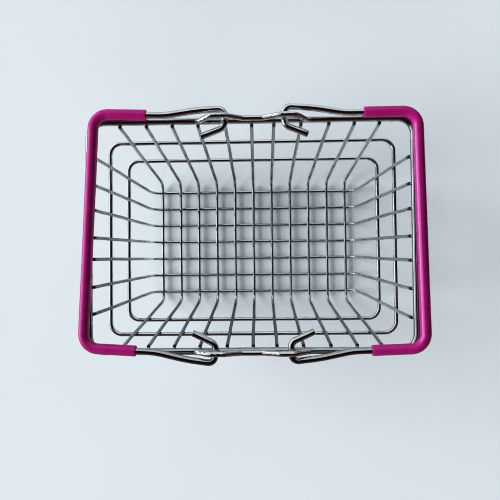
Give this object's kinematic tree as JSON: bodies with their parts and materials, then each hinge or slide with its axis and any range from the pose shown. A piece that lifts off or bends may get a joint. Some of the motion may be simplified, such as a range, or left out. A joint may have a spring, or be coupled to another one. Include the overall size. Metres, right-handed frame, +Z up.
{
  "type": "shopping basket",
  "caption": "Small welded wire shopping basket with tapered grid walls, arched pivot brackets and folding bail handles with soft grips.",
  "frame": {"origin": "middle of the underside, on the surface the basket stands on, midway between the two long sides and the two short sides of the rim", "axes": "+X along the basket's length towards the right handle's hand bar, +Y across it towards the back long side, +Z up out of the open top"},
  "size_m": [0.1976, 0.1473, 0.0985],
  "materials": {
    "rim_chrome": "polished chrome plate on the heavy rim wire",
    "mesh_chrome": "bright chrome plate on the thin welded wires",
    "handle_chrome": "polished chrome plate on the handle and bracket wires",
    "grip_magenta": "glossy soft vinyl sleeve"
  },
  "bodies": {
    "basket": {"rim_wire": "rim_chrome", "upper_hoop": "mesh_chrome", "lower_hoop": "mesh_chrome", "cross_wire_01": "mesh_chrome", "cross_wire_02": "mesh_chrome", "cross_wire_03": "mesh_chrome", "cross_wire_04": "mesh_chrome", "cross_wire_05": "mesh_chrome", "cross_wire_06": "mesh_chrome", "cross_wire_07": "mesh_chrome", "cross_wire_08": "mesh_chrome", "cross_wire_09": "mesh_chrome", "cross_wire_10": "mesh_chrome", "cross_wire_11": "mesh_chrome", "long_wire_01": "mesh_chrome", "long_wire_02": "mesh_chrome", "long_wire_03": "mesh_chrome", "long_wire_04": "mesh_chrome", "long_wire_05": "mesh_chrome", "long_wire_06": "mesh_chrome", "long_wire_07": "mesh_chrome", "back_pivot_bracket": "handle_chrome", "front_pivot_bracket": "handle_chrome"},
    "left_handle": {"left_handle_wire": "handle_chrome", "left_grip": "grip_magenta"},
    "right_handle": {"right_handle_wire": "handle_chrome", "right_grip": "grip_magenta"}
  },
  "joints": [
    {"name": "left_handle_hinge", "type": "hinge", "parent": "basket", "child": "left_handle", "pos_m": [-0.0172, -0.0003, 0.0922], "axis": [0.048, 0.9988, 0], "range_deg": [0, 100]},
    {"name": "right_handle_hinge", "type": "hinge", "parent": "basket", "child": "right_handle", "pos_m": [0.0208, 0.0006, 0.0922], "axis": [0.0192, -0.9998, 0], "range_deg": [0, 100]}
  ]
}
